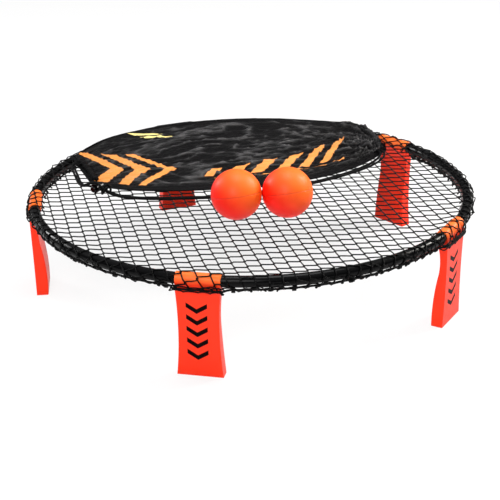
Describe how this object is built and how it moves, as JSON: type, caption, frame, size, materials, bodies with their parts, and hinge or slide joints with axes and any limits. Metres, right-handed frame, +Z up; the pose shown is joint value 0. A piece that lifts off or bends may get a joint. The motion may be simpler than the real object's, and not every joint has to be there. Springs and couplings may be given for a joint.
{
  "type": "roundnet set",
  "caption": "Round net stretched on a jointed tubular ring with folding legs, with rubber balls and a drawstring carry bag lying on it.",
  "frame": {"origin": "on the ground under the centre of the rim", "axes": "+Z up; the viewer of the picture stands towards -Y; leg_1 stands at 257.7 degrees from +X, counted towards +Y, and the others follow every 72 degrees"},
  "size_m": [0.924, 0.9205, 0.3013],
  "materials": {
    "rim": "satin black, moulded",
    "leg": "semi-gloss orange-red, moulded",
    "net": "knotless black mesh",
    "net_edge": "black tape and mesh loops",
    "edge_rope": "braided black rope",
    "ball": "pebbled orange-red rubber",
    "ball_valve": "black rubber",
    "bag": "black satin polyester with a printed orange pattern",
    "bag_hem": "black satin polyester, sewn",
    "drawcord": "black braided cord",
    "cord_lock": "black moulded",
    "cord_lock_button": "black moulded"
  },
  "bodies": {
    "frame": {"rim_tube_1": "rim", "rim_tube_2": "rim", "rim_tube_3": "rim", "rim_tube_4": "rim", "rim_tube_5": "rim", "net": "net", "net_edge": "net_edge", "edge_rope": "edge_rope"},
    "leg_1": {"leg_1": "leg"},
    "leg_2": {"leg_2": "leg"},
    "leg_3": {"leg_3": "leg"},
    "leg_4": {"leg_4": "leg"},
    "leg_5": {"leg_5": "leg"},
    "ball_1": {"ball_1": "ball", "ball_valve_1": "ball_valve"},
    "ball_2": {"ball_2": "ball", "ball_valve_2": "ball_valve"},
    "bag": {"bag": "bag", "bag_hem": "bag_hem", "drawcord": "drawcord", "cord_lock_body": "cord_lock"},
    "lock_button": {"cord_lock_button": "cord_lock_button"}
  },
  "joints": [
    {"name": "leg_1_fold", "type": "hinge", "parent": "frame", "child": "leg_1", "pos_m": [-0.0948, -0.43481, 0.19], "axis": [0.977, -0.213, 0], "range_deg": [0, 80]},
    {"name": "leg_2_fold", "type": "hinge", "parent": "frame", "child": "leg_2", "pos_m": [0.38423, -0.22453, 0.19], "axis": [0.5045, 0.8634, 0], "range_deg": [0, 80]},
    {"name": "leg_3_fold", "type": "hinge", "parent": "frame", "child": "leg_3", "pos_m": [0.33227, 0.29604, 0.19], "axis": [-0.6652, 0.7466, 0], "range_deg": [0, 80]},
    {"name": "leg_4_fold", "type": "hinge", "parent": "frame", "child": "leg_4", "pos_m": [-0.17888, 0.40749, 0.19], "axis": [-0.9157, -0.4019, 0], "range_deg": [0, 80]},
    {"name": "leg_5_fold", "type": "hinge", "parent": "frame", "child": "leg_5", "pos_m": [-0.44282, -0.0442, 0.19], "axis": [0.0993, -0.9951, 0], "range_deg": [0, 80]},
    {"name": "ball_1_lift", "type": "slide", "parent": "frame", "child": "ball_1", "axis": [0, 0, 1], "range_m": [0, 0.15]},
    {"name": "ball_2_lift", "type": "slide", "parent": "frame", "child": "ball_2", "axis": [0, 0, 1], "range_m": [0, 0.15]},
    {"name": "bag_lift", "type": "slide", "parent": "frame", "child": "bag", "axis": [0, 0, 1], "range_m": [0, 0.15]},
    {"name": "lock_press", "type": "slide", "parent": "bag", "child": "lock_button", "axis": [0.5577, 0.83, 0], "range_m": [0, 0.004], "stiffness_N_per_m": 300, "springref_m": -0.002}
  ]
}
